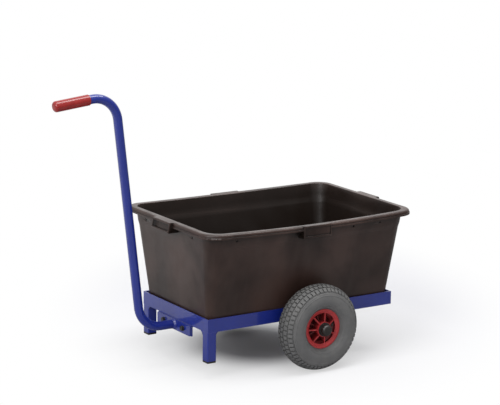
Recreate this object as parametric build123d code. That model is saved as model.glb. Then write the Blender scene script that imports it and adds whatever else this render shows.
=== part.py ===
from build123d import *
import os
from math import cos, degrees, radians, sin

# Hand cart for mortar: a welded frame of rolled angle on two air-tyred wheels, a lift-out tub
# and a bolted-on pull handle. Millimetres, +Z up, handle towards -X, near side towards -Y.
# The cart stands level on its wheels, as it is pulled, with its legs clear of the floor.

# Frame of rolled angle: one flange stands outside, the other points inwards and carries the tub
frame_length = 660
frame_width = 376
angle_leg = 40
angle_wall = 4
angle_root_radius = 5
angle_toe_radius = 2

# Legs of square tube under the corners at the handle end, with plastic end caps
leg_side = 30
leg_wall = 2
leg_corner_radius = 3
leg_drop = 93
cap_plate = 6
cap_edge_radius = 2
cap_plug_height = 18
cap_plug_clearance = 0.2

# Wheels with plastic rims and air tyres
tyre_diameter = 260
tyre_width = 85
tyre_shoulder_drop = 13
tyre_shoulder_width = 70
tyre_side_radius = 86
tyre_side_wall = 6
tyre_tread_wall = 9
tread_row_count = 5
tread_row_pitch = 15
tread_block_count = 54
tread_groove_width = 4
tread_groove_depth = 3.5
tread_block_root = 1
tyre_side_gap = 14.5
tyre_bead_toe = 16
bead_clearance = 0.2
rim_flange_diameter = 120
rim_flange_width = 54
rim_flange_thickness = 3
rim_seat_diameter = 102
rim_seat_lip = 12
rim_well_diameter = 88
rim_well_width = 14
rim_wall = 4
rim_web = 4
spoke_count = 7
spoke_thickness = 4
spoke_hub_height = 30
spoke_ring_height = 21
stiffener_thickness = 3
stiffener_height = 12
hub_diameter = 46
hub_length = 75
bush_diameter = 35
bush_length = 28
bush_flange_diameter = 42
bush_flange_thickness = 3
bush_press_clearance = 0.02
tube_width = 58
tube_height = 61
tube_wall = 2.5
tube_crown_gap = 0.4
valve_diameter = 7
valve_length = 38
valve_lean = 50
valve_hole_clearance = 0.2
valve_foot_gap = 0.2

# Axle: a round bar right across, welded into lugs under the side rails
axle_diameter = 20
axle_drop = 15
axle_ahead = 18
axle_end_chamfer = 1.5
axle_run_clearance = 0.05
axle_slip_clearance = 0.05
axle_lug_length = 60
axle_lug_thickness = 10
axle_lug_nose = 17
spacer_diameter = 27
hub_end_play = 0.3
hub_washer_diameter = 37
hub_washer_thickness = 3
axle_cap_diameter = 34
axle_cap_height = 15
axle_cap_dome_radius = 10
axle_cap_socket = 10

# Handle: one bent tube welded to a flat flange, bolted to a bracket under the frame's end
handle_diameter = 27
handle_wall = 2.5
handle_bend_radius = 75
handle_reach = 111
handle_rise = 705
handle_lean = 7
handle_droop = 6.3
handle_arm = 197
flange_length = 190
flange_height = 32
flange_thickness = 5
flange_corner_radius = 4
flange_drop = 0.5
bracket_leg = 33
bracket_wall = 5
grip_diameter = 32
grip_length = 112
grip_end_wall = 4
grip_end_radius = 9
grip_mouth_radius = 1.5
grip_clearance = 0.05
bolt_spacing = 110
bolt_diameter = 8
bolt_hole_clearance = 0.5
bolt_flats = 13
bolt_head_height = 5.3
bolt_tail = 4
nut_height = 6.5
nut_clearance = 0.05
washer_diameter = 16
washer_thickness = 1.6
washer_clearance = 0.2

# Tub: a tapered moulding with a rolled rim and a hooded hand hold in the middle of each side
tub_end_gap = 7
tub_side_gap = 8
tub_end_flare = 31
tub_side_flare = 52
tub_floor_corner = 20
tub_mouth_corner = 44
tub_height = 301
tub_wall = 4
tub_floor_wall = 5
tub_floor_radius = 14
tub_step_height = 244
tub_step_run = 14
tub_step = 2
rim_overhang = 19
rim_corner = 50
rim_lip = 15
rim_skirt = 2
rim_skirt_height = 5
rim_thickness = 4
rim_outer_radius = 8
rim_inner_radius = 2
hold_width = 98
hold_wall = 4
hold_bead = 6
hold_corner_radius = 3
end_hold_recess = 7
end_hold_height = 31
end_hold_proud = 9
end_hold_kick = 7
side_hold_recess = 3
side_hold_height = 38
side_hold_proud = 4
side_hold_kick = 1

# Levels and places that follow from the sizes above
axle_height = tyre_diameter / 2
frame_bottom = axle_height + axle_drop
tub_seat = frame_bottom + angle_wall
foot_height = frame_bottom - leg_drop
wheel_offset = frame_width / 2 + tyre_side_gap + tyre_width / 2
hub_face = hub_length / 2
rib_start = (hub_diameter + bush_diameter) / 4
tube_foot = tyre_diameter / 2 - tyre_tread_wall - tube_crown_gap - tube_height
lug_offset = frame_width / 2 - angle_leg / 2
flange_face = -frame_length / 2 - flange_thickness
flange_middle = frame_bottom - flange_drop - flange_height / 2
tub_floor_length = frame_length - 2 * angle_wall - 2 * tub_end_gap
tub_floor_width = frame_width - 2 * angle_wall - 2 * tub_side_gap
tub_mouth_length = tub_floor_length + 2 * tub_end_flare
tub_mouth_width = tub_floor_width + 2 * tub_side_flare
mouth_height = tub_seat + tub_height


def outline(*points):
    """Closed face with straight sides."""
    return make_face(Polyline(*points, close=True))


def ring(outer, inner, length):
    """Round sleeve standing on the origin along Z."""
    return extrude(Circle(outer / 2) - Circle(inner / 2), amount=length)


def square_tube(side, wall, corner, length):
    """Square tube standing on the origin along Z."""
    bore = side - 2 * wall
    section = RectangleRounded(side, side, corner) - RectangleRounded(bore, bore, corner - wall / 2)
    return extrude(section, amount=length)


def angle_member(length):
    """Rolled angle along X with mitred ends, its outer corner on the X axis, flanges to +Y and +Z."""
    section = outline(
        (0, 0),
        (angle_leg, 0),
        (angle_leg, angle_wall),
        (angle_wall, angle_wall),
        (angle_wall, angle_leg),
        (0, angle_leg),
    )
    root = section.vertices().sort_by_distance((angle_wall, angle_wall))[0]
    section = fillet(root, angle_root_radius)
    toes = [
        section.vertices().sort_by_distance((angle_leg, angle_wall))[0],
        section.vertices().sort_by_distance((angle_wall, angle_leg))[0],
    ]
    section = fillet(toes, angle_toe_radius)
    bar = extrude(Plane.YZ * section, amount=length / 2, both=True)
    plan = outline(
        (-length / 2, 0),
        (length / 2, 0),
        (length / 2 - angle_leg, angle_leg),
        (-length / 2 + angle_leg, angle_leg),
    )
    return bar & extrude(plan, amount=angle_leg)


def leg_cap():
    """Plastic foot with a plug that fills the leg's bore, standing on the origin."""
    plate = extrude(RectangleRounded(leg_side, leg_side, leg_corner_radius), amount=cap_plate)
    plate = fillet(plate.faces().sort_by(Axis.Z)[0].edges(), cap_edge_radius)
    plug_side = leg_side - 2 * leg_wall - 2 * cap_plug_clearance
    plug = extrude(RectangleRounded(plug_side, plug_side, leg_corner_radius / 2), amount=cap_plug_height)
    return plate + Pos(0, 0, cap_plate) * plug


def axle_lug():
    """Flat lug that hangs from a side rail, with the axle's bore on the origin along Y."""
    top = Line((-axle_lug_length / 2, axle_drop), (axle_lug_length / 2, axle_drop))
    plate = make_hull(Circle(axle_lug_nose).edges() + top.edges())
    below = outline(
        (-axle_lug_length, -axle_lug_length),
        (axle_lug_length, -axle_lug_length),
        (axle_lug_length, axle_drop),
        (-axle_lug_length, axle_drop),
    )
    plate = (plate & below) - Circle(axle_diameter / 2 + axle_slip_clearance)
    return extrude(Plane.XZ * plate, amount=axle_lug_thickness / 2, both=True)


def axle():
    """Round bar along Z, centred on the origin, long enough to seat both axle caps."""
    half = wheel_offset + hub_face + hub_end_play + hub_washer_thickness + axle_cap_socket
    bar = extrude(Circle(axle_diameter / 2), amount=half, both=True)
    ends = bar.edges().filter_by(GeomType.CIRCLE)
    return chamfer(ends, axle_end_chamfer)


def axle_cap():
    """Low domed push-on cap with a blind socket for the axle's end, standing on the origin."""
    body = extrude(Circle(axle_cap_diameter / 2), amount=axle_cap_height)
    body = fillet(body.edges().sort_by(Axis.Z)[-1], axle_cap_dome_radius)
    socket = extrude(Circle(axle_diameter / 2 + axle_slip_clearance), amount=axle_cap_socket)
    return body - socket


def radial_rib(thickness, upper, angle):
    """Flat rib in a radial plane, with the same edge above and below the wheel's middle."""
    lower = [(radius, -height) for radius, height in reversed(upper)]
    rib = extrude(Plane.XZ * outline(*upper, *lower), amount=thickness / 2, both=True)
    return Rot(0, 0, angle) * rib


def spoke(angle):
    """Deep rib from the hub to the rim's bead seats."""
    upper = [
        (rib_start, spoke_hub_height),
        (rim_seat_diameter / 2 - rim_wall / 2, spoke_ring_height),
        (rim_seat_diameter / 2 - rim_wall / 2, rim_seat_lip),
        (rim_well_diameter / 2 - rim_wall / 2, rim_well_width / 2),
    ]
    return radial_rib(spoke_thickness, upper, angle)


def stiffener(angle):
    """Low rib on the web, from the hub to the rim's well."""
    upper = [(rib_start, stiffener_height), (rim_well_diameter / 2 - rim_wall / 2, rim_well_width / 2)]
    return radial_rib(stiffener_thickness, upper, angle)


def valve_frame(clear):
    """Bar along the valve's slanted axis, from the air tube out between two spokes."""
    lean = radians(valve_lean)
    foot = tube_foot - valve_diameter / 2 * sin(lean) - valve_foot_gap
    line = Plane(origin=(foot, 0, 0), z_dir=(-cos(lean), 0, sin(lean)))
    bar = extrude(line * Circle(valve_diameter / 2 + clear), amount=valve_length)
    return Rot(0, 0, 90 / spoke_count) * bar


def rim():
    """Spoked plastic rim about Z, with its outer face towards +Z."""
    flange = rim_flange_diameter / 2
    seat = rim_seat_diameter / 2
    well = rim_well_diameter / 2
    face = rim_flange_width / 2
    inside = face - rim_flange_thickness
    upper = [
        (well, 0),
        (well, rim_well_width / 2),
        (seat, rim_seat_lip),
        (seat, inside),
        (flange, inside),
        (flange, face),
        (flange - rim_wall, face),
        (seat - rim_wall, inside - rim_wall / 2),
        (seat - rim_wall, rim_seat_lip + rim_wall / 2),
        (well - rim_wall, rim_well_width / 2 + rim_wall / 2),
        (well - rim_wall, 0),
    ]
    half = revolve(Plane.XZ * outline(*upper), axis=Axis.Z)
    barrel = half + mirror(half, about=Plane.XY)
    hub_body = hub_length - 2 * bush_flange_thickness
    hub = Pos(0, 0, -hub_body / 2) * ring(hub_diameter, bush_diameter, hub_body)
    web = Pos(0, 0, -rim_web / 2) * ring(2 * well - rim_wall, bush_diameter + rim_wall, rim_web)
    step = 360 / spoke_count
    spokes = [spoke((number + 0.5) * step) for number in range(spoke_count)]
    stiffeners = [stiffener(number * step) for number in range(spoke_count)]
    return barrel + hub + web + spokes + stiffeners - valve_frame(valve_hole_clearance)


def tread_section(top, bottom, place, width):
    """Section of the tread between two depths below its curve, over a width across the tyre."""
    half_shoulder = tyre_shoulder_width / 2
    radius = (half_shoulder**2 + tyre_shoulder_drop**2) / (2 * tyre_shoulder_drop)
    skin = Pos(tyre_diameter / 2 - radius, 0) * (Circle(radius - top) - Circle(radius - bottom))
    return skin & Pos(tyre_diameter / 2, place) * Rectangle(tyre_shoulder_width, width)


def tread_gaps():
    """Skin taken off the tyre's whole tread, to be filled by the blocks."""
    width = tread_row_count * tread_row_pitch
    section = tread_section(-tread_groove_depth, tread_groove_depth, 0, width)
    return revolve(Plane.XZ * section, axis=Axis.Z)


def tread_blocks():
    """Rows of blocks on the tread, set half a block further round in every other row."""
    blocks = []
    turn = 360 / tread_block_count
    gap = degrees(tread_groove_width / (tyre_diameter / 2))
    width = tread_row_pitch - tread_groove_width
    for row in range(tread_row_count):
        place = (row - (tread_row_count - 1) / 2) * tread_row_pitch
        section = tread_section(0, tread_groove_depth + tread_block_root, place, width)
        block = revolve(Plane.XZ * section, axis=Axis.Z, revolution_arc=turn - gap)
        for number in range(tread_block_count):
            blocks.append(Rot(0, 0, (number + row % 2 / 2) * turn) * block)
    return blocks


def tyre():
    """Air tyre about Z: beads inside the rim's flanges, round sides, blocks on the tread."""
    crown = tyre_diameter / 2
    shoulder = crown - tyre_shoulder_drop
    bead = rim_seat_diameter / 2 + bead_clearance
    heel = rim_flange_width / 2 - rim_flange_thickness - bead_clearance
    clinch = rim_flange_diameter / 2 + bead_clearance
    half_width = tyre_width / 2
    half_shoulder = tyre_shoulder_width / 2
    outside = [
        ThreePointArc((shoulder, -half_shoulder), (crown, 0), (shoulder, half_shoulder)),
        TangentArc((tyre_side_radius, half_width), (shoulder, half_shoulder), tangent=(1, 0)),
        TangentArc((tyre_side_radius, half_width), (clinch, heel), tangent=(-1, 0)),
        Polyline((clinch, heel), (bead, heel), (bead, tyre_bead_toe)),
    ]
    lining_top = crown - tyre_tread_wall
    lining_shoulder = (shoulder - tyre_side_wall, half_shoulder - tyre_side_wall)
    lining_side = (tyre_side_radius, half_width - tyre_side_wall)
    lining_bead = (clinch, tyre_bead_toe)
    inside = [
        Line((bead, tyre_bead_toe), lining_bead),
        TangentArc(lining_side, lining_bead, tangent=(-1, 0)),
        TangentArc(lining_side, lining_shoulder, tangent=(1, 0)),
        ThreePointArc(lining_shoulder, (lining_top, 0), (lining_shoulder[0], -lining_shoulder[1])),
    ]
    sides = outside[1:] + inside[:3]
    mirrored = [mirror(edge, about=Plane.XZ) for edge in sides]
    section = make_face([edge for line in outside + inside + mirrored for edge in line.edges()])
    return revolve(Plane.XZ * section, axis=Axis.Z) - tread_gaps() + tread_blocks()


def inner_tube():
    """Air tube about Z, blown up against the tread's lining."""
    middle = tube_foot + tube_height / 2
    skin = Ellipse(tube_height / 2, tube_width / 2)
    skin = skin - Ellipse(tube_height / 2 - tube_wall, tube_width / 2 - tube_wall)
    return revolve(Plane.XZ * (Pos(middle, 0) * skin), axis=Axis.Z)


def bushes():
    """Two flanged bushes about Z, pressed into the hub's ends."""
    bore = axle_diameter + 2 * axle_run_clearance
    sleeve = ring(bush_diameter - 2 * bush_press_clearance, bore, bush_length)
    flange = ring(bush_flange_diameter, bore, bush_flange_thickness)
    bush = Pos(0, 0, hub_face - bush_flange_thickness) * flange
    bush = bush + Pos(0, 0, hub_face - bush_flange_thickness - bush_length) * sleeve
    return Part() + [bush, mirror(bush, about=Plane.XY)]


def handle_path():
    """Middle line of the handle, with its tube's end inside the grip."""
    foot = Vector(flange_face, 0, flange_middle)
    knee = foot - Vector(handle_reach, 0, 0)
    lean = radians(handle_lean)
    shoulder = knee + Vector(-handle_rise * sin(lean) / cos(lean), 0, handle_rise)
    tip = shoulder + arm_direction() * (handle_arm - grip_end_wall)
    return FilletPolyline(foot, knee, shoulder, tip, radius=handle_bend_radius)


def arm_direction():
    """Direction of the grip: backwards and a little down."""
    droop = radians(handle_droop)
    return Vector(-cos(droop), 0, -sin(droop))


def handle_tube():
    """Bent round tube from the flange to the grip's end wall."""
    path = handle_path()
    start = Plane(origin=path @ 0, z_dir=path % 0)
    bore = handle_diameter / 2 - handle_wall
    return sweep(start * (Circle(handle_diameter / 2) - Circle(bore)), path=path)


def handle_grip():
    """Plastic sleeve with a rounded closed end, pushed onto the handle's end."""
    sleeve = extrude(Circle(grip_diameter / 2), amount=grip_length)
    sleeve = fillet(sleeve.edges().sort_by(Axis.Z)[-1], grip_end_radius)
    sleeve = fillet(sleeve.edges().sort_by(Axis.Z)[0], grip_mouth_radius)
    bore = Circle(handle_diameter / 2 + grip_clearance)
    sleeve = sleeve - extrude(bore, amount=grip_length - grip_end_wall)
    tube_end = handle_path() @ 1
    mouth = tube_end - arm_direction() * (grip_length - grip_end_wall)
    return Plane(origin=mouth, z_dir=arm_direction()) * sleeve


def bolt_places():
    """Planes on the flange's outer face, one for each bolt, looking away from the cart."""
    return [
        Plane(origin=(flange_face, side * bolt_spacing / 2, flange_middle), z_dir=(-1, 0, 0))
        for side in (-1, 1)
    ]


def bolt_holes():
    """Clearance holes through the flange and the bracket."""
    depth = flange_thickness + bracket_leg
    hole = Pos(0, 0, -depth) * extrude(Circle((bolt_diameter + bolt_hole_clearance) / 2), amount=2 * depth)
    return [place * hole for place in bolt_places()]


def handle_flange():
    """Flat bar across the handle's foot, just below the frame's end member."""
    plate = RectangleRounded(flange_length, flange_height, flange_corner_radius)
    bar = extrude(Plane.YZ * plate, amount=flange_thickness)
    return Pos(flange_face, 0, flange_middle) * bar - bolt_holes()


def handle_bracket():
    """Angle welded under the frame's end member, its upright flange behind the handle's flange."""
    section = outline(
        (0, 0),
        (bracket_leg, 0),
        (bracket_leg, -bracket_wall),
        (bracket_wall, -bracket_wall),
        (bracket_wall, -bracket_leg),
        (0, -bracket_leg),
    )
    bar = extrude(Plane.XZ * section, amount=flange_length / 2, both=True)
    return Pos(-frame_length / 2, 0, frame_bottom) * bar - bolt_holes()


def hexagon(height):
    """Hexagon prism standing on the origin."""
    return extrude(RegularPolygon(bolt_flats / 2, 6, major_radius=False), amount=height)


def clamped_thickness():
    """Thickness that each bolt clamps, without washers."""
    return flange_thickness + bracket_wall


def handle_bolt():
    """Hexagon bolt with its washer's seat on the origin and its shank towards -Z."""
    shank = clamped_thickness() + 2 * washer_thickness + nut_height + bolt_tail
    head = Pos(0, 0, washer_thickness) * hexagon(bolt_head_height)
    stem = Pos(0, 0, washer_thickness - shank) * extrude(Circle(bolt_diameter / 2), amount=shank)
    return head + stem


def bolt_washer():
    """Flat washer standing on the origin."""
    return ring(washer_diameter, bolt_diameter + 2 * washer_clearance, washer_thickness)


def bolt_washers():
    """One washer under the head and one under the nut."""
    return [bolt_washer(), Pos(0, 0, -clamped_thickness() - washer_thickness) * bolt_washer()]


def handle_nut():
    """Hexagon nut behind the bracket."""
    bore = Circle(bolt_diameter / 2 + nut_clearance)
    nut = hexagon(nut_height) - extrude(bore, amount=nut_height)
    return Pos(0, 0, -clamped_thickness() - washer_thickness - nut_height) * nut


def tub_section(height, offset):
    """Rounded rectangle round the tub at a height above its seat, moved outwards by an offset."""
    share = height / tub_height
    length = tub_floor_length + share * (tub_mouth_length - tub_floor_length)
    width = tub_floor_width + share * (tub_mouth_width - tub_floor_width)
    corner = tub_floor_corner + share * (tub_mouth_corner - tub_floor_corner)
    plan = RectangleRounded(length + 2 * offset, width + 2 * offset, corner + offset)
    return Pos(0, 0, tub_seat + height) * plan


def tub_body(low, high, offset):
    """Tapered block of the tub between two heights."""
    return loft([tub_section(low, offset), tub_section(high, offset)], ruled=True)


def rim_plan(inset):
    """Outline of the rim, moved inwards from its skin."""
    reach = 2 * (rim_overhang - inset)
    return RectangleRounded(tub_mouth_length + reach, tub_mouth_width + reach, rim_corner - inset)


def rim_block(inset):
    """Block under the rim's top, moved inwards from the rim's skin, with a rounded upper edge."""
    block = extrude(rim_plan(inset), amount=rim_lip - inset)
    return fillet(block.faces().sort_by(Axis.Z)[-1].edges(), rim_outer_radius - inset)


def tub_rim():
    """Flange round the mouth, rolled over into a lip with a skirt, its top at the mouth's height."""
    skirt = extrude(rim_plan(-rim_skirt) - rim_plan(rim_thickness), amount=rim_skirt_height)
    lip = rim_block(0) - rim_block(rim_thickness)
    return Pos(0, 0, mouth_height - rim_lip) * (lip + skirt)


def hold_block(near, far, lean, width, top, bottom):
    """Block that reaches outwards along X between two depths below the rim's top, with a leaning front."""
    section = outline(
        (near, -top),
        (far + lean * top, -top),
        (far + lean * bottom, -bottom),
        (near, -bottom),
    )
    return extrude(Plane.XZ * section, amount=width / 2, both=True)


def hold_window():
    """Room for the fingers behind the rim's lip."""
    span = hold_width - 2 * hold_wall
    return hold_block(0, rim_overhang + hold_wall, 0, span, rim_thickness, rim_lip)


def hand_hold(recess, height, proud, kick):
    """Hood over the fingers: two side ribs, a sunk front with a bead below, open underneath."""
    face = rim_overhang + proud
    lean = kick / height
    root = -tub_wall - height
    span = hold_width - 2 * hold_wall
    hood = hold_block(root, face, lean, hold_width, 0, height)
    front = hood.faces().sort_by(Axis.X)[-1]
    hood = fillet(front.edges(), hold_corner_radius)
    fingers = hold_block(root, face - hold_wall - recess, lean, span, rim_thickness, height)
    panel = hold_block(0, face, lean, span, hold_bead, height - hold_bead)
    sunk = panel - hold_block(0, face - recess, lean, span, hold_bead, height - hold_bead)
    return hood - fingers - sunk


def end_hold():
    """Hand hold for the tub's ends."""
    return hand_hold(end_hold_recess, end_hold_height, end_hold_proud, end_hold_kick)


def side_hold():
    """Hand hold for the tub's long sides."""
    return hand_hold(side_hold_recess, side_hold_height, side_hold_proud, side_hold_kick)


def hold_frame(turn, reach):
    """Place of a hand hold on the rim's top."""
    return Pos(0, 0, mouth_height) * Rot(0, 0, turn) * Pos(reach, 0, 0)


def hold_frames():
    """Places of the end holds and of the side holds."""
    ends = [hold_frame(turn, tub_mouth_length / 2) for turn in (0, 180)]
    sides = [hold_frame(turn, tub_mouth_width / 2) for turn in (90, 270)]
    return ends, sides


def tub_block(bottom, offset, floor_radius):
    """Tapered block of the tub from a height to its mouth, which steps outwards below the rim."""
    step_top = tub_step_height + tub_step_run
    lower = tub_body(bottom, tub_step_height, offset)
    lower = fillet(lower.faces().sort_by(Axis.Z)[0].edges(), floor_radius)
    step = loft([tub_section(tub_step_height, offset), tub_section(step_top, offset + tub_step)], ruled=True)
    return lower + step + tub_body(step_top, tub_height, offset + tub_step)


def tub():
    """Moulded tub: tapered wall with a step below the rim, rolled rim and four hand holds."""
    ends, sides = hold_frames()
    rim_ring = tub_rim() - [place * hold_window() for place in ends + sides]
    holds = [place * end_hold() for place in ends] + [place * side_hold() for place in sides]
    inside = tub_block(tub_floor_wall, -tub_wall, tub_floor_radius - tub_wall)
    shell = tub_block(0, 0, tub_floor_radius) + rim_ring + holds - inside
    top = shell.faces().filter_by(Axis.Z).sort_by(Axis.Z)[-1]
    return fillet(top.inner_wires()[0].edges(), rim_inner_radius)


def frame_pieces():
    """Four mitred members of rolled angle."""
    side_bar = angle_member(frame_length)
    end_bar = angle_member(frame_width)
    return {
        "frame_rail_near": Pos(0, -frame_width / 2, frame_bottom) * side_bar,
        "frame_rail_far": Pos(0, frame_width / 2, frame_bottom) * Rot(0, 0, 180) * side_bar,
        "frame_end_handle": Pos(-frame_length / 2, 0, frame_bottom) * Rot(0, 0, -90) * end_bar,
        "frame_end_tail": Pos(frame_length / 2, 0, frame_bottom) * Rot(0, 0, 90) * end_bar,
    }


def leg_pieces():
    """Both legs with their end caps."""
    pieces = {}
    for name, side in (("near", -1), ("far", 1)):
        corner = Pos(-(frame_length - leg_side) / 2, side * (frame_width - leg_side) / 2, foot_height)
        post = square_tube(leg_side, leg_wall, leg_corner_radius, leg_drop - cap_plate)
        pieces[f"leg_{name}"] = corner * Pos(0, 0, cap_plate) * post
        pieces[f"leg_cap_{name}"] = corner * leg_cap()
    return pieces


def axle_pieces():
    """Axle with its lugs, spacers, washers and caps."""
    centre = Pos(axle_ahead, 0, axle_height)
    bore = axle_diameter + 2 * axle_slip_clearance
    lug_face = lug_offset + axle_lug_thickness / 2
    inner_washer = wheel_offset - hub_face - hub_end_play - hub_washer_thickness
    outer_washer = wheel_offset + hub_face + hub_end_play
    washer = ring(hub_washer_diameter, bore, hub_washer_thickness)
    pieces = {"axle": centre * Rot(90, 0, 0) * axle()}
    for name, side in (("near", -1), ("far", 1)):
        outwards = centre * Rot(-90 * side, 0, 0)
        pieces[f"axle_lug_{name}"] = centre * Pos(0, side * lug_offset, 0) * axle_lug()
        spacer = ring(spacer_diameter, bore, inner_washer - lug_face)
        pieces[f"axle_spacer_{name}"] = outwards * Pos(0, 0, lug_face) * spacer
        washers = [Pos(0, 0, place) * washer for place in (inner_washer, outer_washer)]
        pieces[f"hub_washers_{name}"] = outwards * (Part() + washers)
        cap_place = outer_washer + hub_washer_thickness
        pieces[f"axle_cap_{name}"] = outwards * Pos(0, 0, cap_place) * axle_cap()
    return pieces


def wheel_pieces():
    """Both wheels, each with its outer face away from the frame."""
    wheel = {
        "tyre": tyre(),
        "inner_tube": inner_tube(),
        "rim": rim(),
        "hub_bushes": bushes(),
        "valve_stem": valve_frame(0),
    }
    pieces = {}
    for name, side in (("near", -1), ("far", 1)):
        place = Pos(axle_ahead, side * wheel_offset, axle_height) * Rot(-90 * side, 0, 0)
        for piece, body in wheel.items():
            pieces[f"{piece}_{name}"] = place * body
    return pieces


def handle_pieces():
    """Handle with what fastens it."""
    places = bolt_places()
    return {
        "handle_bracket": handle_bracket(),
        "handle_flange": handle_flange(),
        "handle_tube": handle_tube(),
        "handle_grip": handle_grip(),
        "handle_bolts": Part() + [place * handle_bolt() for place in places],
        "handle_washers": Part() + [place * washer for place in places for washer in bolt_washers()],
        "handle_nuts": Part() + [place * handle_nut() for place in places],
    }


def main():
    """Build every piece, move the origin under the middle of the cart and write the pieces."""
    pieces = frame_pieces() | leg_pieces() | axle_pieces() | wheel_pieces() | handle_pieces()
    pieces["tub"] = tub()
    boxes = [piece.bounding_box() for piece in pieces.values()]
    middle = (min(box.min.X for box in boxes) + max(box.max.X for box in boxes)) / 2
    os.makedirs("parts", exist_ok=True)
    for name, piece in pieces.items():
        export_step(Pos(-middle, 0, 0) * piece, f"parts/{name}.step")
    print("frame centre stands at X =", round(-middle, 4))


main()
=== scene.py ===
from math import cos, pi, radians, sin, tau

import bmesh
import bpy
from mathutils import Matrix, Vector
from mathutils.bvhtree import BVHTree


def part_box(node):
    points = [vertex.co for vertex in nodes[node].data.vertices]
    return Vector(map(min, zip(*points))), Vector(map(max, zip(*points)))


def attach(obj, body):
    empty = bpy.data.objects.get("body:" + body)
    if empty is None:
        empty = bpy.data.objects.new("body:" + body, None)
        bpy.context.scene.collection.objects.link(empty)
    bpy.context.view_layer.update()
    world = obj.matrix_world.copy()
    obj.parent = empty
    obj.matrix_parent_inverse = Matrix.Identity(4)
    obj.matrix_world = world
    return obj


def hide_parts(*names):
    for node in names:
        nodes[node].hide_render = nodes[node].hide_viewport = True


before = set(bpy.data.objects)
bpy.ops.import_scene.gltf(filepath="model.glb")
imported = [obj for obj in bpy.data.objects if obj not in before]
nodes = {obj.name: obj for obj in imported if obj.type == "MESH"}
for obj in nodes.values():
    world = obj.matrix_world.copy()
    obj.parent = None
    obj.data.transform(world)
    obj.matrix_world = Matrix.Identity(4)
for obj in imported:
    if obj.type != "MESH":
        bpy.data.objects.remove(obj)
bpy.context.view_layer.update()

# Directions, and the cart's long sides with the way from each to the middle
east = Vector((1, 0, 0))
north = Vector((0, 1, 0))
up = Vector((0, 0, 1))
sides = (("near", north), ("far", -north))

# Angle from which an edge of a swept piece, or of the tub, is shown sharp
swept_crease = radians(50)
tub_crease = radians(28)

# Shading: samples, the usual range of noise, and the likeness of directions that marks an edge
bevel_samples = 6
hollow_samples = 8
noise_low = 0.3
noise_high = 0.7
edge_sharp = 0.72
edge_flat = 0.94

# Form of all welds, with the depths as shares of a weld's size
weld_step = 0.0009
weld_steps_in_ripple = 5
weld_ripple_depth = 0.16
weld_root_depth = 0.08
weld_arc_steps = 6

# Sizes of the welds, and of what they run round
fillet_weld = 0.0045
leg_back_weld = 0.008
leg_inner_weld = 0.012
leg_weld_inset = 0.002
leg_weld_front_inset = 0.0005
bracket_weld_inset = 0.001
handle_radius = 0.0135
handle_weld_along = 0.006
handle_weld_outwards = 0.005
handle_weld_margin = 0.0003
axle_weld = 0.004
rail_wall = 0.004
corner_weld = 0.004
corner_weld_foot = 0.006
corner_weld_head = 0.003

# Moulded rings on the tyres
ring_radii = (0.0660, 0.0735, 0.1040)
ring_half_width = 0.0013
ring_height = 0.0008
ring_arc_steps = 6
ring_steps = 120
clear_of_tyre = 0.2

# Tub: its bow, and the pits under its rim, by height above the floor and place from the tub's middle
tub_bow = 0.012
tub_sag = 0.006
sag_steepness = 4
bow_end = 0.02
bow_foot = 0.03
rim_start = 0.9
rim_tilt = 0.002
tub_cut_step = 0.03
tub_merge_distance = 0.000005
pit_height = 0.420
pits_along = (-0.261, 0.147, 0.247)
pits_across = (-0.128, 0.139)
pit_radius = 0.0036
pit_floor_share = 0.7
pit_depth = 0.0025
pit_corners = 20

# Camera, with angles in radians and the focal length in pixels of the picture
picture_width = 500
focal_length = 1942.7048
view_azimuth = -0.5739
view_elevation = 0.2157
view_roll = 0.0150
view_target = Vector((0.102780, 0, 0.469693))
view_distance = 5.850412
view_reach = 60
sensor_width = 36

# Studio
white = (1, 1, 1, 1)
lamp_aim = (0.1, 0, 0.3)
top_lamp_aim = (0.6, 0, 0.3)
floor_reach = 20
shade_middle = (0.494, 0.395, 0)
shade_size = (0.66, 0.95, 1)
shade_core = (0.18, 0.06, 0)
shade_ring_lift = 0.48
floor_towards_back = (-0.6, 0.8, 0)
sky_overhead = (-0.55, 0.05, 0.83)
sky_backdrop = (0.54, 0.84, 0)


# Colours and materials
def linear(value):
    """Share of light for a screen value from 0 to 255, by the sRGB curve."""
    share = value / 255
    if share <= 0.04045:
        return share / 12.92
    return ((share + 0.055) / 1.055) ** 2.4


def colour(red, green, blue):
    """Opaque colour, given as it looks on a screen."""
    return (linear(red), linear(green), linear(blue), 1)


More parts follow.
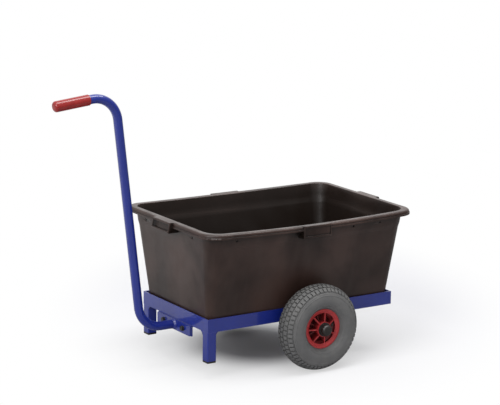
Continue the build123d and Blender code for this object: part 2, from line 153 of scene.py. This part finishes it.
class Nodes:
    """A node tree whose sockets take numbers, colours or other nodes' outputs."""

    def __init__(self, owner):
        owner.use_nodes = True
        self.tree = owner.node_tree
        self.tree.nodes.clear()

    def put(self, socket, value):
        """Links a socket to another node's output, or sets its value."""
        if isinstance(value, bpy.types.NodeSocket):
            self.tree.links.new(value, socket)
        else:
            socket.default_value = value

    def fill(self, node, sockets):
        """Links or sets a node's inputs by name, with underscores for spaces."""
        for name, value in sockets.items():
            self.put(node.inputs[name.replace("_", " ")], value)

    def add(self, kind, settings=None, **sockets):
        """New node; settings are its own options, sockets its inputs."""
        node = self.tree.nodes.new(kind)
        for name, value in (settings or {}).items():
            setattr(node, name, value)
        self.fill(node, sockets)
        return node

    def ramp(self, value, low, high, start, end, slope="LINEAR"):
        """Value that goes from low to high while the input goes from start to end."""
        node = self.add(
            "ShaderNodeMapRange",
            settings={"interpolation_type": slope},
            Value=value,
            From_Min=start,
            From_Max=end,
            To_Min=low,
            To_Max=high,
        )
        return node.outputs["Result"]

    def math(self, operation, first, second):
        """Number worked out from two numbers."""
        node = self.add("ShaderNodeMath", settings={"operation": operation})
        self.put(node.inputs[0], first)
        self.put(node.inputs[1], second)
        return node.outputs["Value"]

    def measure(self, operation, first, second=(0, 0, 0)):
        """Number worked out from one or two vectors."""
        node = self.add("ShaderNodeVectorMath", settings={"operation": operation})
        self.put(node.inputs[0], first)
        self.put(node.inputs[1], second)
        return node.outputs["Value"]

    def mix(self, share, first, second):
        """Colour between two colours, which such a node takes in its sockets 6 and 7."""
        node = self.add("ShaderNodeMix", settings={"data_type": "RGBA"}, Factor=share)
        self.put(node.inputs[6], first)
        self.put(node.inputs[7], second)
        return node.outputs[2]

    def blend(self, share, first, second):
        """Shader between two shaders."""
        node = self.add("ShaderNodeMixShader", Fac=share)
        self.put(node.inputs[1], first)
        self.put(node.inputs[2], second)
        return node.outputs["Shader"]


class Finish(Nodes):
    """A material with one glossy shader."""

    def __init__(self, name, **sockets):
        self.material = bpy.data.materials.new(name)
        super().__init__(self.material)
        self.shader = self.add("ShaderNodeBsdfPrincipled", **sockets)
        self.output = self.add("ShaderNodeOutputMaterial", Surface=self.shader.outputs["BSDF"])
        self.place = self.add("ShaderNodeTexCoord").outputs["Object"]

    def set(self, **sockets):
        """Links or sets the shader's own sockets."""
        self.fill(self.shader, sockets)

    def noise(self, scale, detail=3, rough=0.5, stretch=(1, 1, 1), warp=0):
        """Cloudy value, with patches of about one metre over the scale, longer where stretch is small."""
        place = self.add("ShaderNodeMapping", Vector=self.place, Scale=stretch).outputs["Vector"]
        node = self.add(
            "ShaderNodeTexNoise",
            Vector=place,
            Scale=scale,
            Detail=detail,
            Roughness=rough,
            Distortion=warp,
        )
        return node.outputs["Fac"]

    def patchy(self, low, high, scale, **form):
        """Value from low to high in cloudy patches."""
        return self.ramp(self.noise(scale, **form), low, high, noise_low, noise_high)

    def rounded(self, radius):
        """Surface direction with sharp edges softened to a radius in metres."""
        node = self.add("ShaderNodeBevel", settings={"samples": bevel_samples}, Radius=radius)
        return node.outputs["Normal"]

    def edges(self, radius):
        """Mask that is 1 along sharp edges, where softening them turns the surface direction."""
        flat = self.add("ShaderNodeNewGeometry").outputs["Normal"]
        likeness = self.measure("DOT_PRODUCT", self.rounded(radius), flat)
        return self.ramp(likeness, 1, 0, edge_sharp, edge_flat)

    def hollows(self, reach, shut=0.25, clear=0.9):
        """Mask that is 1 deep in the piece's own hollows, and 0 where nothing is near; used to paint
        shade into them.
        """
        settings = {"only_local": True, "samples": hollow_samples}
        node = self.add("ShaderNodeAmbientOcclusion", settings, Distance=reach)
        return self.ramp(node.outputs["AO"], 1, 0, shut, clear)

    def bump(self, height, depth, radius):
        """Surface direction with bumps of a depth, and edges softened to a radius, both in metres."""
        node = self.add("ShaderNodeBump", Distance=depth, Height=height, Normal=self.rounded(radius))
        return node.outputs["Normal"]


def blue_paint():
    """Powder coat: orange peel, slightly uneven colour, thinner on the edges."""
    paint = Finish("blue_paint", Specular_IOR_Level=0.25, Coat_Weight=1.0, Coat_Roughness=0.04)
    uneven = paint.mix(paint.noise(14, detail=4), colour(14, 31, 112), colour(22, 39, 124))
    rubbed = paint.ramp(paint.noise(90), 0.15, 0.75, start=0.35, end=0.7)
    lighter_edges = paint.math("MULTIPLY", paint.edges(radius=0.0012), rubbed)
    paint.set(Base_Color=paint.mix(lighter_edges, uneven, colour(72, 80, 158)))
    paint.set(Roughness=paint.patchy(0.30, 0.44, scale=60))
    paint.set(Normal=paint.bump(paint.noise(420, detail=2), depth=0.000015, radius=0.0012))
    return paint.material


def tub_plastic():
    """Dark recycled polyethylene: cloudy colour, light scuffs, fine grain, painted shade deep inside and
    in creases.
    """
    plastic = Finish("tub_plastic", Specular_IOR_Level=0.35)
    cloud = plastic.ramp(plastic.noise(6, stretch=(1, 1, 0.7), warp=0.4), 0, 1, start=0.36, end=0.64)
    base = plastic.mix(cloud, colour(34, 21, 17), colour(61, 45, 40))
    scuffs = plastic.ramp(plastic.noise(30, detail=2, stretch=(1, 1, 0.1)), 0, 0.3, start=0.5, end=0.85)
    lighter_edges = plastic.math("MULTIPLY", plastic.edges(radius=0.0016), 0.3)
    base = plastic.mix(plastic.math("MAXIMUM", scuffs, lighter_edges), base, colour(66, 56, 52))
    # Painted shade deep inside the tub, where little light reaches
    base = plastic.mix(plastic.hollows(reach=0.6, shut=0.60, clear=0.86), base, colour(22, 15, 11))
    # Painted shade in the tub's small creases and recesses, such as the hand holds
    base = plastic.mix(plastic.hollows(reach=0.012), base, colour(16, 12, 11))
    plastic.set(Base_Color=base)
    plastic.set(Roughness=plastic.patchy(0.29, 0.42, scale=20, detail=2))
    waves = plastic.math("MULTIPLY", plastic.noise(28, detail=1), 6)
    grain = plastic.math("ADD", plastic.noise(500, detail=2), waves)
    plastic.set(Normal=plastic.bump(grain, depth=0.00002, radius=0.0012))
    return plastic.material


def grey_tyre():
    """Grey rubber with dust, painted shade between the tread blocks, and a painted highlight on its sharp
    edges.
    """
    rubber = Finish("grey_tyre", Specular_IOR_Level=0.3)
    dust = rubber.ramp(rubber.noise(30, detail=5, rough=0.6), 0, 0.55, start=0.42, end=0.72)
    base = rubber.mix(dust, colour(88, 88, 88), colour(106, 105, 104))
    # Painted highlight along the tyre's sharp edges, such as the tread blocks' edges
    lighter_edges = rubber.math("MULTIPLY", rubber.edges(radius=0.0012), 0.4)
    base = rubber.mix(lighter_edges, base, colour(126, 125, 123))
    # Painted shade between the tread blocks and in the tyre's other hollows
    rubber.set(Base_Color=rubber.mix(rubber.hollows(reach=0.005), base, colour(68, 68, 67)))
    rubber.set(Roughness=rubber.patchy(0.62, 0.82, scale=80))
    rubber.set(Normal=rubber.bump(rubber.noise(700), depth=0.00004, radius=0.0009))
    return rubber.material


def red_plastic(name, dark, light, roughness):
    """Moulded red plastic with a faint flow pattern, and painted shade in its hollows."""
    plastic = Finish(name, Specular_IOR_Level=0.5)
    flow = plastic.patchy(0, 1, scale=40, detail=4, rough=0.6, warp=1.2)
    base = plastic.mix(flow, dark, light)
    lighter_edges = plastic.math("MULTIPLY", plastic.edges(radius=0.0010), 0.35)
    base = plastic.mix(lighter_edges, base, colour(205, 96, 92))
    # Painted shade in the piece's hollows, such as between the wheel rim's spokes
    plastic.set(Base_Color=plastic.mix(plastic.hollows(reach=0.03), base, colour(88, 16, 18)))
    plastic.set(Roughness=plastic.patchy(roughness - 0.06, roughness + 0.06, scale=55))
    plastic.set(Normal=plastic.bump(plastic.noise(800, detail=2), depth=0.000003, radius=0.0008))
    return plastic.material


def black_plastic(name, base, roughness):
    """Black plastic, rubber or coated steel with dust and a fine grain."""
    plastic = Finish(name)
    dusty = plastic.ramp(plastic.noise(45, detail=5, rough=0.6), 0, 0.6, start=0.45, end=0.75)
    plastic.set(Base_Color=plastic.mix(dusty, base, colour(44, 40, 38)))
    plastic.set(Roughness=plastic.patchy(roughness - 0.07, roughness + 0.08, scale=70))
    plastic.set(Normal=plastic.bump(plastic.noise(900, detail=2), depth=0.00002, radius=0.0008))
    return plastic.material


def zinc_steel():
    """Zinc-plated steel with dull patches and a fine grain."""
    steel = Finish("zinc_steel", Metallic=1.0)
    patch = steel.patchy(0, 1, scale=120, detail=4, rough=0.6)
    steel.set(Base_Color=steel.mix(patch, colour(168, 166, 158), colour(203, 202, 196)))
    steel.set(Roughness=steel.patchy(0.30, 0.48, scale=260, detail=4))
    steel.set(Normal=steel.bump(steel.noise(1400, detail=2), depth=0.00003, radius=0.0005))
    return steel.material


finishes = {
    "blue_paint": blue_paint(),
    "tub_plastic": tub_plastic(),
    "red_grip": red_plastic("red_grip", colour(122, 26, 26), colour(136, 34, 32), roughness=0.18),
    "red_rim": red_plastic("red_rim", colour(150, 32, 36), colour(168, 42, 44), roughness=0.42),
    "black_plastic": black_plastic("black_plastic", colour(27, 22, 20), roughness=0.37),
    "tube_rubber": black_plastic("tube_rubber", colour(34, 33, 33), roughness=0.62),
    "bush_plastic": black_plastic("bush_plastic", colour(30, 26, 24), roughness=0.46),
    "zinc_steel": zinc_steel(),
    "black_steel": black_plastic("black_steel", colour(26, 25, 27), roughness=0.36),
    "grey_tyre": grey_tyre(),
}


def dress(mesh, slot):
    """Gives a mesh one finish."""
    mesh.materials.clear()
    mesh.materials.append(finishes[slot])


for node in nodes.values():
    slot = node.data.materials[0].name.split(".")[0]
    dress(node.data, slot)


# Pieces made here
def placed(name, data):
    """New object in the scene."""
    made = bpy.data.objects.new(name, data)
    bpy.context.scene.collection.objects.link(made)
    return made


def piece(name, mesh, body, slot):
    """Object in the part's frame that rides on a body."""
    made = placed(name, mesh)
    dress(mesh, slot)
    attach(made, body)
    return made


def swept(name, sections, closed):
    """Smooth mesh through sections with equally many points, closed into a ring or with flat ends."""
    count = len(sections[0])
    rings = len(sections)
    points = [point for section in sections for point in section]
    faces = []
    for number in range(rings if closed else rings - 1):
        here = number * count
        there = (number + 1) % rings * count
        for corner in range(count):
            after = (corner + 1) % count
            faces.append((here + corner, here + after, there + after, there + corner))
    if not closed:
        faces.append(tuple(reversed(range(count))))
        faces.append(tuple(range((rings - 1) * count, rings * count)))
    mesh = bpy.data.meshes.new(name)
    mesh.from_pydata(points, [], faces)
    shell = bmesh.new()
    shell.from_mesh(mesh)
    bmesh.ops.recalc_face_normals(shell, faces=shell.faces)
    shell.to_mesh(mesh)
    shell.free()
    mesh.shade_smooth()
    mesh.set_sharp_from_angle(angle=swept_crease)
    return mesh


# Welds; each station has its root and its reach along both faces of the corner
def weld(name, path, closed=False, hollow=0.8):
    """Rippled weld along stations; its face is flat where hollow is 1, and fuller below that."""
    sections = []
    for number, (root, first, second) in enumerate(path):
        swell = 1 - weld_ripple_depth * abs(sin(pi * number / weld_steps_in_ripple))
        section = [root - (first + second) * weld_root_depth]
        for step in range(weld_arc_steps + 1):
            turn = step / weld_arc_steps * pi / 2
            reach = swell / (cos(turn) + sin(turn)) ** hollow
            section.append(root + (first * cos(turn) + second * sin(turn)) * reach)
        sections.append(section)
    piece(name, swept(name, sections, closed), "frame", "blue_paint")


def straight(start, end, first, second):
    """Stations of a straight weld."""
    count = max(2, round((end - start).length / weld_step))
    return [(start.lerp(end, number / count), first, second) for number in range(count + 1)]


def under(start, end, away, size):
    """Stations of a straight weld in the corner below a plate; away points out of the upright face."""
    return straight(start, end, away * size, -up * size)


def round_bar(centre, axis, radius, along, outwards, limit=1.0):
    """Stations of a weld round a level bar; upwards and downwards it ends at the limit."""
    count = weld_steps_in_ripple * round(tau * radius / weld_step / weld_steps_in_ripple)
    side = axis.cross(up)
    nearly_level = 0.01
    stations = []
    for number in range(count):
        turn = tau * number / count
        radial = side * cos(turn) + up * sin(turn)
        reach = min(outwards, limit / max(abs(radial.z), nearly_level) - radius)
        stations.append((centre + radial * radius, axis * along, radial * reach))
    return stations


def inner_face(low, high, inwards):
    """Place across the cart of the face of a box that looks to the cart's middle."""
    return high.y if inwards.y > 0 else low.y


def leg_welds():
    """Hollow welds from each leg's inner faces to the frame above."""
    for name, inwards in sides:
        low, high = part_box("leg_" + name)
        start = Vector((high.x, low.y + leg_weld_inset, high.z))
        end = Vector((high.x, high.y - leg_weld_inset, high.z))
        weld(f"weld_leg_{name}_a", under(start, end, east, leg_back_weld), hollow=1.4)
        inner = inner_face(low, high, inwards)
        start = Vector((low.x + leg_weld_front_inset, inner, high.z))
        end = Vector((high.x - leg_weld_inset, inner, high.z))
        weld(f"weld_leg_{name}_b", under(start, end, inwards, leg_inner_weld), hollow=1.7)


def handle_welds():
    """Welds round the bracket's upper flange and round the handle's foot."""
    low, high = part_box("handle_bracket")
    start = Vector((high.x, low.y, high.z))
    end = Vector((high.x, high.y, high.z))
    weld("weld_bracket_back", under(start, end, east, fillet_weld))
    for name, place, away in (("near", low.y, -north), ("far", high.y, north)):
        start = Vector((low.x + bracket_weld_inset, place, high.z))
        end = Vector((high.x, place, high.z))
        weld(f"weld_bracket_{name}", under(start, end, away, fillet_weld))
    low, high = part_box("handle_flange")
    centre = Vector((low.x, 0, (low.z + high.z) / 2))
    limit = (high.z - low.z) / 2 - handle_weld_margin
    path = round_bar(centre, -east, handle_radius, handle_weld_along, handle_weld_outwards, limit)
    weld("weld_handle", path, closed=True)


def axle_welds():
    """Welds from the lugs to the rails above and to the axle."""
    low_axle, high_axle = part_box("axle")
    axle_middle = (low_axle + high_axle) / 2
    axle_radius = (high_axle.x - low_axle.x) / 2
    for name, inwards in sides:
        low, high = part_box("axle_lug_" + name)
        for mark, place, away in (("a", low.y, -north), ("b", high.y, north)):
            start = Vector((low.x, place, high.z))
            end = Vector((high.x, place, high.z))
            weld(f"weld_lug_{name}_{mark}", under(start, end, away, fillet_weld))
        centre = Vector((axle_middle.x, inner_face(low, high, inwards), axle_middle.z))
        path = round_bar(centre, inwards, axle_radius, axle_weld, axle_weld)
        weld(f"weld_axle_{name}", path, closed=True)


def corner_welds():
    """Upright welds in the frame's inner corners."""
    low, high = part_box("frame_rail_near")
    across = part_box("frame_rail_far")[1].y - rail_wall
    for name, place, away in (("handle", low.x + rail_wall, east), ("tail", high.x - rail_wall, -east)):
        for side, inwards in sides:
            start = Vector((place, -across * inwards.y, low.z + corner_weld_foot))
            end = Vector((place, -across * inwards.y, high.z - corner_weld_head))
            path = straight(start, end, away * corner_weld, inwards * corner_weld)
            weld(f"weld_corner_{name}_{side}", path)


leg_welds()
handle_welds()
axle_welds()
corner_welds()


# Moulded rings on the tyres
def ring_profile(surface, centre, away, radius):
    """Section of a ring on a tyre's side, as reaches from the axle and places across the wheel."""
    levels = []
    for offset in (-ring_half_width, 0, ring_half_width):
        start = centre + away * clear_of_tyre + east * (radius + offset)
        levels.append(surface.ray_cast(start, -away)[0].y - centre.y)
    inner, middle, outer = levels
    profile = []
    for step in range(ring_arc_steps + 1):
        turn = pi * step / ring_arc_steps
        level = inner + (outer - inner) * step / ring_arc_steps
        profile.append((radius - ring_half_width * cos(turn), level + away.y * ring_height * sin(turn)))
    profile.append((radius, middle - away.y * ring_height))
    return profile


def tyre_rings(side):
    """Thin moulded rings on both sides of a tyre."""
    low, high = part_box("tyre_" + side)
    centre = (low + high) / 2
    tyre = nodes["tyre_" + side].data
    points = [vertex.co for vertex in tyre.vertices]
    faces = [face.vertices for face in tyre.polygons]
    surface = BVHTree.FromPolygons(points, faces)
    for away in (-north, north):
        face = "inner" if away.y * centre.y < 0 else "outer"
        for number, radius in enumerate(ring_radii):
            profile = ring_profile(surface, centre, away, radius)
            sections = []
            for step in range(ring_steps):
                turn = tau * step / ring_steps
                out = Vector((cos(turn), 0, sin(turn)))
                sections.append([centre + out * reach + north * level for reach, level in profile])
            name = f"tyre_ring_{side}_{face}_{number}"
            piece(name, swept(name, sections, True), "wheel_" + side, "grey_tyre")


tyre_rings("near")
tyre_rings("far")


# Tub
def cut_finely(shell, low, high):
    """Cuts a shell by evenly spaced planes across each side of its box, so that it can bend."""
    for axis in (east, north, up):
        start = axis.dot(low)
        count = int((axis.dot(high) - start) / tub_cut_step)
        for number in range(1, count + 1):
            everything = shell.verts[:] + shell.edges[:] + shell.faces[:]
            place = axis * (start + number * tub_cut_step)
            bmesh.ops.bisect_plane(shell, geom=everything, plane_co=place, plane_no=axis)


def eased(share):
    """Share from 0 to 1 with a soft start and a soft end."""
    return share * share * (3 - 2 * share)


def bow(shell, low, high):
    """Bows the long sides outwards and lets them sag towards their middle, where the rim tips up."""
    middle = (low + high) / 2
    half = high - middle
    for vertex in shell.verts:
        place = vertex.co
        along = min(1, abs(place.x - middle.x) / (half.x - bow_end))
        across = place.y / half.y
        height = max(0, min(1, (place.z - low.z - bow_foot) / (high.z - low.z - bow_foot)))
        share = eased(height) * (1 - along * along)
        rim = max(0, abs(across) - rim_start) / (1 - rim_start)
        place.y += tub_bow * share * across
        sag = tub_sag * min(1, abs(across) / rim_start) ** sag_steepness
        place.z += (rim_tilt * rim - sag) * share


def pit_places(surface, middle):
    """Points and outward directions of the pits under the rim's lip: sides alike, one end turned."""
    starts = []
    for along in pits_along:
        for outwards in (-north, north):
            starts.append((Vector((middle.x + along, 0, pit_height)) + outwards, -outwards))
    for across in pits_across:
        for outwards in (-east, east):
            starts.append((Vector((middle.x, -across * outwards.x, pit_height)) + outwards, -outwards))
    return [surface.ray_cast(start, direction)[:2] for start, direction in starts]


def pit_cutters(places):
    """Mesh of tapered plugs, set half into the wall."""
    plugs = bmesh.new()
    for point, outwards in places:
        turn = outwards.to_track_quat("Z", "Y").to_matrix().to_4x4()
        bmesh.ops.create_cone(
            plugs,
            cap_ends=True,
            segments=pit_corners,
            radius1=pit_radius * pit_floor_share,
            radius2=pit_radius,
            depth=2 * pit_depth,
            matrix=Matrix.Translation(point) @ turn,
        )
    mesh = bpy.data.meshes.new("pits")
    plugs.to_mesh(mesh)
    plugs.free()
    return mesh


def cut_away(name, mesh, cutters):
    """New mesh of what is left of one mesh after another is cut out of it."""
    whole = placed("whole", mesh)
    knife = placed("knife", cutters)
    cut = whole.modifiers.new("cut", "BOOLEAN")
    cut.object = knife
    cut.solver = "EXACT"
    result = bpy.data.meshes.new_from_object(whole.evaluated_get(bpy.context.evaluated_depsgraph_get()))
    result.name = name
    bpy.data.objects.remove(whole)
    bpy.data.objects.remove(knife)
    return result


def worn_tub():
    """The tub as use has bent it, with pits under its rim, in place of the straight one."""
    low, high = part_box("tub")
    straight_mesh = nodes["tub"].data
    shell = bmesh.new()
    shell.from_mesh(straight_mesh)
    bmesh.ops.remove_doubles(shell, verts=shell.verts, dist=tub_merge_distance)
    cut_finely(shell, low, high)
    bow(shell, low, high)
    bent = straight_mesh.copy()
    shell.to_mesh(bent)
    places = pit_places(BVHTree.FromBMesh(shell), (low + high) / 2)
    shell.free()
    mesh = cut_away("tub_body", bent, pit_cutters(places))
    mesh.shade_smooth()
    mesh.set_sharp_from_angle(angle=tub_crease)
    made = piece("tub_body", mesh, "tub", "tub_plastic")
    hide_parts("tub")


worn_tub()


# Camera as in the photo
def camera():
    """Camera that looks at the target, with its picture turned by the roll."""
    level = Vector((cos(view_azimuth), sin(view_azimuth), 0))
    outwards = cos(view_elevation)
    back = Vector((sin(view_azimuth) * outwards, -cos(view_azimuth) * outwards, sin(view_elevation)))
    upright = back.cross(level)
    right = level * cos(view_roll) + upright * sin(view_roll)
    top = upright * cos(view_roll) - level * sin(view_roll)
    data = bpy.data.cameras.new("camera")
    data.sensor_fit = "HORIZONTAL"
    data.sensor_width = sensor_width
    data.lens = focal_length / picture_width * sensor_width
    data.clip_end = view_reach
    made = placed("camera", data)
    place = Matrix((right, top, back)).transposed().to_4x4()
    place.translation = view_target + back * view_distance
    made.matrix_world = place
    bpy.context.scene.camera = made


# Studio
def lamp(name, place, aim, width, depth, power):
    """Rectangular area lamp aimed at a point."""
    data = bpy.data.lights.new(name, "AREA")
    data.shape = "RECTANGLE"
    data.size = width
    data.size_y = depth
    data.energy = power
    made = placed(name, data)
    made.location = place
    made.rotation_mode = "QUATERNION"
    made.rotation_quaternion = (Vector(aim) - Vector(place)).to_track_quat("-Z", "Y")


def floor_shade(floor):
    """Share of its own shade that the floor keeps: a patch with a soft edge, and a ring in it where
    painted light lifts the shadow.
    """
    patch = floor.add(
        "ShaderNodeMapping",
        settings={"vector_type": "TEXTURE"},
        Vector=floor.place,
        Location=shade_middle,
        Rotation=(0, 0, view_azimuth),
        Scale=shade_size,
    )
    away = floor.measure("LENGTH", patch.outputs["Vector"])
    kept = floor.ramp(away, 1, 0, start=0.62, end=1.24, slope="SMOOTHSTEP")
    # Painted light: a ring round the shadow's core that lifts the floor's shade
    apart = floor.measure("DISTANCE", floor.place, shade_core)
    rise = floor.ramp(apart, 0, shade_ring_lift, start=0.12, end=0.30, slope="SMOOTHSTEP")
    fall = floor.ramp(apart, 0, shade_ring_lift, start=0.40, end=0.78, slope="SMOOTHSTEP")
    lift = floor.math("SUBTRACT", rise, fall)
    return floor.math("MULTIPLY", kept, floor.math("SUBTRACT", 1, lift))


def floor_finish():
    """Pale floor that keeps the shadow near the cart and fades into the white background."""
    floor = Finish("floor", Specular_IOR_Level=0.0, Roughness=0.9)
    path = floor.add("ShaderNodeLightPath")
    speck = floor.mix(floor.noise(160, detail=4), colour(193, 193, 196), colour(197, 197, 200))
    behind = floor.measure("DOT_PRODUCT", floor.place, floor_towards_back)
    paler = floor.ramp(behind, 0, 1, start=0.2, end=1.6)
    mirrored = floor.mix(paler, colour(132, 132, 132), colour(204, 204, 204))
    floor.set(Base_Color=floor.mix(path.outputs["Is Glossy Ray"], speck, mirrored))
    faded = floor.math("SUBTRACT", 1, floor_shade(floor))
    share = floor.math("MULTIPLY", faded, path.outputs["Is Camera Ray"])
    glow = floor.add("ShaderNodeEmission", Color=white).outputs["Emission"]
    surface = floor.blend(share, floor.shader.outputs["BSDF"], glow)
    floor.put(floor.output.inputs["Surface"], surface)
    return floor.material


def studio_floor():
    """Large level floor that is no piece of the cart."""
    corners = [(-1, -1), (1, -1), (1, 1), (-1, 1)]
    mesh = bpy.data.meshes.new("floor")
    mesh.from_pydata([(x * floor_reach, y * floor_reach, 0) for x, y in corners], [], [(0, 1, 2, 3)])
    mesh.materials.append(floor_finish())
    made = placed("floor", mesh)


def studio_world():
    """White behind the cart; for its shading a fill from overhead and from the white backdrop."""
    world = bpy.data.worlds.new("studio")
    bpy.context.scene.world = world
    sky = Nodes(world)
    direction = sky.add("ShaderNodeTexCoord").outputs["Generated"]
    above = sky.measure("DOT_PRODUCT", direction, sky_overhead)
    behind = sky.measure("DOT_PRODUCT", direction, sky_backdrop)
    overhead = sky.ramp(above, 0.22, 1.0, start=-0.4, end=0.9)
    backdrop = sky.ramp(behind, 0.0, 1.1, start=0.45, end=0.9)
    strength = sky.math("MAXIMUM", overhead, backdrop)
    fill = sky.add("ShaderNodeBackground", Color=white, Strength=strength).outputs["Background"]
    plain = sky.add("ShaderNodeBackground", Color=white).outputs["Background"]
    seen = sky.add("ShaderNodeLightPath").outputs["Is Camera Ray"]
    sky.add("ShaderNodeOutputWorld", Surface=sky.blend(seen, fill, plain))


camera()
lamp("key", place=(-3.4, -1.6, 2.6), aim=lamp_aim, width=2.4, depth=2.4, power=85)
lamp("top", place=(0.6, -0.6, 4.0), aim=top_lamp_aim, width=4.2, depth=1.4, power=150)
lamp("back", place=(1.9, 2.4, 3.4), aim=lamp_aim, width=3.4, depth=3.4, power=15)
studio_floor()
studio_world()
bpy.context.scene.view_settings.view_transform = "Standard"
